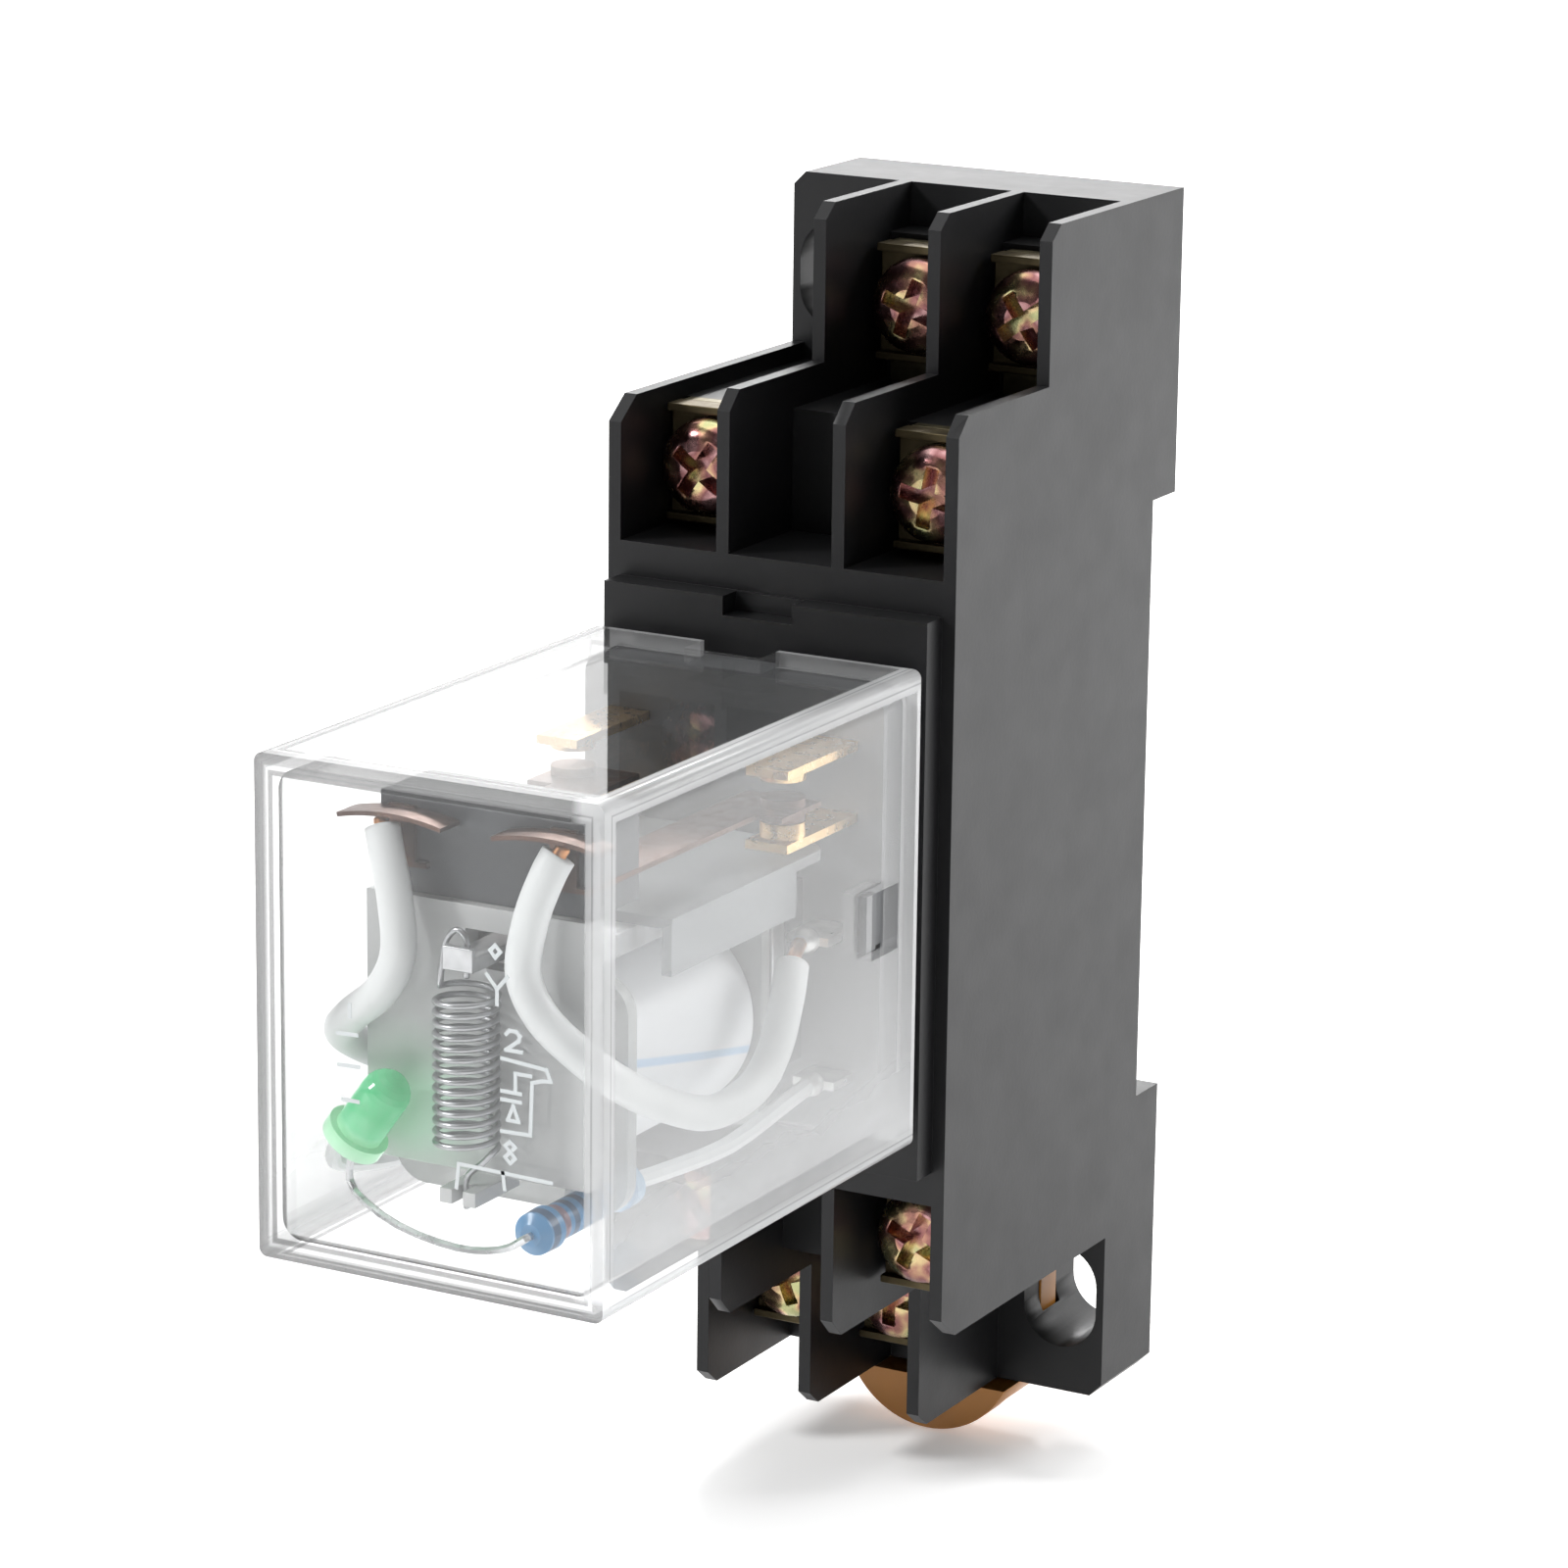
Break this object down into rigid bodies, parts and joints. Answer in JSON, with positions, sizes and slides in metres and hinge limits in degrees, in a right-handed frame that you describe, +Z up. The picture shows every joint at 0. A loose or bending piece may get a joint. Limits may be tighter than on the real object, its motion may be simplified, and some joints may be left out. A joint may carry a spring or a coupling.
{
  "type": "relay socket with plug-in relay",
  "caption": "Small clear-cased plug-in relay on a stepped screw-terminal socket with a sprung rail latch and mounting slots.",
  "frame": {"origin": "middle of the rail recess in the plane of the rear mounting face", "axes": "+X to the right seen from the front, +Y into the panel, +Z up along the socket"},
  "size_m": [0.0222, 0.065, 0.0764],
  "materials": {
    "housing_black": "satin moulded",
    "cover_black": "satin moulded",
    "latch_amber": "amber moulded",
    "spring_wire": "drawn wire",
    "strip_brass": "tinned brass",
    "washer_zinc": "yellow chromate",
    "screw_chromate": "yellow chromate, iridescent",
    "case_clear": "clear",
    "base_grey": "moulded",
    "blade_tin": "tinned",
    "contact_alloy": "copper alloy",
    "barrier_milky": "milky",
    "bobbin_milky": "milky",
    "winding_copper": "enamelled copper",
    "tape_white": "white tape with pale blue marks",
    "core_steel": "soft iron",
    "yoke_steel": "plated",
    "armature_steel": "plated",
    "carrier_dark": "moulded",
    "spring_copper": "copper alloy strip",
    "lead_copper": "bare copper",
    "sleeve_white": "white sleeve",
    "lamp_green": "green, translucent",
    "lead_tin": "tinned wire",
    "wire_white": "white insulation",
    "resistor_blue": "lacquered, with colour bands"
  },
  "bodies": {
    "socket": {"socket_housing": "housing_black", "rear_cover": "cover_black", "latch_spring": "spring_wire", "contact_strip_1": "strip_brass", "contact_strip_2": "strip_brass", "contact_strip_3": "strip_brass", "contact_strip_4": "strip_brass", "contact_strip_5": "strip_brass", "contact_strip_6": "strip_brass", "contact_strip_7": "strip_brass", "contact_strip_8": "strip_brass"},
    "rail_latch": {"din_latch": "latch_amber"},
    "clamp_1": {"clamp_washer_1": "washer_zinc"},
    "screw_1": {"terminal_screw_1": "screw_chromate"},
    "clamp_2": {"clamp_washer_2": "washer_zinc"},
    "screw_2": {"terminal_screw_2": "screw_chromate"},
    "clamp_3": {"clamp_washer_3": "washer_zinc"},
    "screw_3": {"terminal_screw_3": "screw_chromate"},
    "clamp_4": {"clamp_washer_4": "washer_zinc"},
    "screw_4": {"terminal_screw_4": "screw_chromate"},
    "clamp_5": {"clamp_washer_5": "washer_zinc"},
    "screw_5": {"terminal_screw_5": "screw_chromate"},
    "clamp_6": {"clamp_washer_6": "washer_zinc"},
    "screw_6": {"terminal_screw_6": "screw_chromate"},
    "clamp_7": {"clamp_washer_7": "washer_zinc"},
    "screw_7": {"terminal_screw_7": "screw_chromate"},
    "clamp_8": {"clamp_washer_8": "washer_zinc"},
    "screw_8": {"terminal_screw_8": "screw_chromate"},
    "relay": {"relay_cover": "case_clear", "relay_base": "base_grey", "coil_terminal_left": "blade_tin", "coil_terminal_right": "blade_tin", "common_terminal_left": "blade_tin", "common_terminal_right": "blade_tin", "closed_contact_left": "contact_alloy", "closed_contact_right": "contact_alloy", "open_contact_left": "contact_alloy", "open_contact_right": "contact_alloy", "contact_barrier": "barrier_milky", "coil_bobbin": "bobbin_milky", "coil_winding": "winding_copper", "coil_tape": "tape_white", "magnet_core": "core_steel", "magnet_yoke": "yoke_steel", "return_spring": "spring_wire", "lead_wire_left": "lead_copper", "lead_wire_right": "lead_copper", "lead_sleeve_left": "sleeve_white", "lead_sleeve_right": "sleeve_white", "led_lamp": "lamp_green", "led_lead": "lead_tin", "lamp_wire": "wire_white", "resistor": "resistor_blue", "resistor_wire": "wire_white"},
    "armature_set": {"armature": "armature_steel", "contact_carrier": "carrier_dark", "moving_spring_left": "spring_copper", "moving_spring_right": "spring_copper"}
  },
  "joints": [
    {"name": "latch_slide", "type": "slide", "parent": "socket", "child": "rail_latch", "axis": [0, 0, -1], "range_m": [0, 0.0025], "stiffness_N_per_m": 800, "springref_m": -0.004, "deforming": ["latch_spring"]},
    {"name": "clamp_lift_1", "type": "slide", "parent": "socket", "child": "clamp_1", "axis": [0, -1, 0], "range_m": [0, 0.002]},
    {"name": "screw_turn_1", "type": "hinge", "parent": "clamp_1", "child": "screw_1", "pos_m": [0, -0.0114, 0.0301], "axis": [0, -1, 0], "range_deg": [0, 1440]},
    {"name": "clamp_lift_2", "type": "slide", "parent": "socket", "child": "clamp_2", "axis": [0, -1, 0], "range_m": [0, 0.002]},
    {"name": "screw_turn_2", "type": "hinge", "parent": "clamp_2", "child": "screw_2", "pos_m": [0.00735, -0.0114, 0.0301], "axis": [0, -1, 0], "range_deg": [0, 1440]},
    {"name": "clamp_lift_3", "type": "slide", "parent": "socket", "child": "clamp_3", "axis": [0, -1, 0], "range_m": [0, 0.002]},
    {"name": "screw_turn_3", "type": "hinge", "parent": "clamp_3", "child": "screw_3", "pos_m": [-0.00735, -0.0228, 0.0218], "axis": [0, -1, 0], "range_deg": [0, 1440]},
    {"name": "clamp_lift_4", "type": "slide", "parent": "socket", "child": "clamp_4", "axis": [0, -1, 0], "range_m": [0, 0.002]},
    {"name": "screw_turn_4", "type": "hinge", "parent": "clamp_4", "child": "screw_4", "pos_m": [0.00735, -0.0228, 0.0218], "axis": [0, -1, 0], "range_deg": [0, 1440]},
    {"name": "clamp_lift_5", "type": "slide", "parent": "socket", "child": "clamp_5", "axis": [0, -1, 0], "range_m": [0, 0.002]},
    {"name": "screw_turn_5", "type": "hinge", "parent": "clamp_5", "child": "screw_5", "pos_m": [-0.00735, -0.0228, -0.0218], "axis": [0, -1, 0], "range_deg": [0, 1440]},
    {"name": "clamp_lift_6", "type": "slide", "parent": "socket", "child": "clamp_6", "axis": [0, -1, 0], "range_m": [0, 0.002]},
    {"name": "screw_turn_6", "type": "hinge", "parent": "clamp_6", "child": "screw_6", "pos_m": [0.00735, -0.0228, -0.0218], "axis": [0, -1, 0], "range_deg": [0, 1440]},
    {"name": "clamp_lift_7", "type": "slide", "parent": "socket", "child": "clamp_7", "axis": [0, -1, 0], "range_m": [0, 0.002]},
    {"name": "screw_turn_7", "type": "hinge", "parent": "clamp_7", "child": "screw_7", "pos_m": [-0.00735, -0.0114, -0.0301], "axis": [0, -1, 0], "range_deg": [0, 1440]},
    {"name": "clamp_lift_8", "type": "slide", "parent": "socket", "child": "clamp_8", "axis": [0, -1, 0], "range_m": [0, 0.002]},
    {"name": "screw_turn_8", "type": "hinge", "parent": "clamp_8", "child": "screw_8", "pos_m": [0, -0.0114, -0.0301], "axis": [0, -1, 0], "range_deg": [0, 1440]},
    {"name": "relay_unplug", "type": "slide", "parent": "socket", "child": "relay", "axis": [0, -1, 0], "range_m": [0, 0.012]},
    {"name": "armature_pull", "type": "hinge", "parent": "relay", "child": "armature_set", "pos_m": [0, -0.0587, 0.00435], "axis": [1, 0, 0], "range_deg": [0, 2.8], "stiffness_Nm_per_rad": 0.02, "springref_deg": -5.73, "deforming": ["return_spring"]}
  ],
  "couplings": [
    {"joint": "screw_turn_1", "follows": "clamp_lift_1", "rad_per_m": 12566},
    {"joint": "screw_turn_2", "follows": "clamp_lift_2", "rad_per_m": 12566},
    {"joint": "screw_turn_3", "follows": "clamp_lift_3", "rad_per_m": 12566},
    {"joint": "screw_turn_4", "follows": "clamp_lift_4", "rad_per_m": 12566},
    {"joint": "screw_turn_5", "follows": "clamp_lift_5", "rad_per_m": 12566},
    {"joint": "screw_turn_6", "follows": "clamp_lift_6", "rad_per_m": 12566},
    {"joint": "screw_turn_7", "follows": "clamp_lift_7", "rad_per_m": 12566},
    {"joint": "screw_turn_8", "follows": "clamp_lift_8", "rad_per_m": 12566}
  ]
}
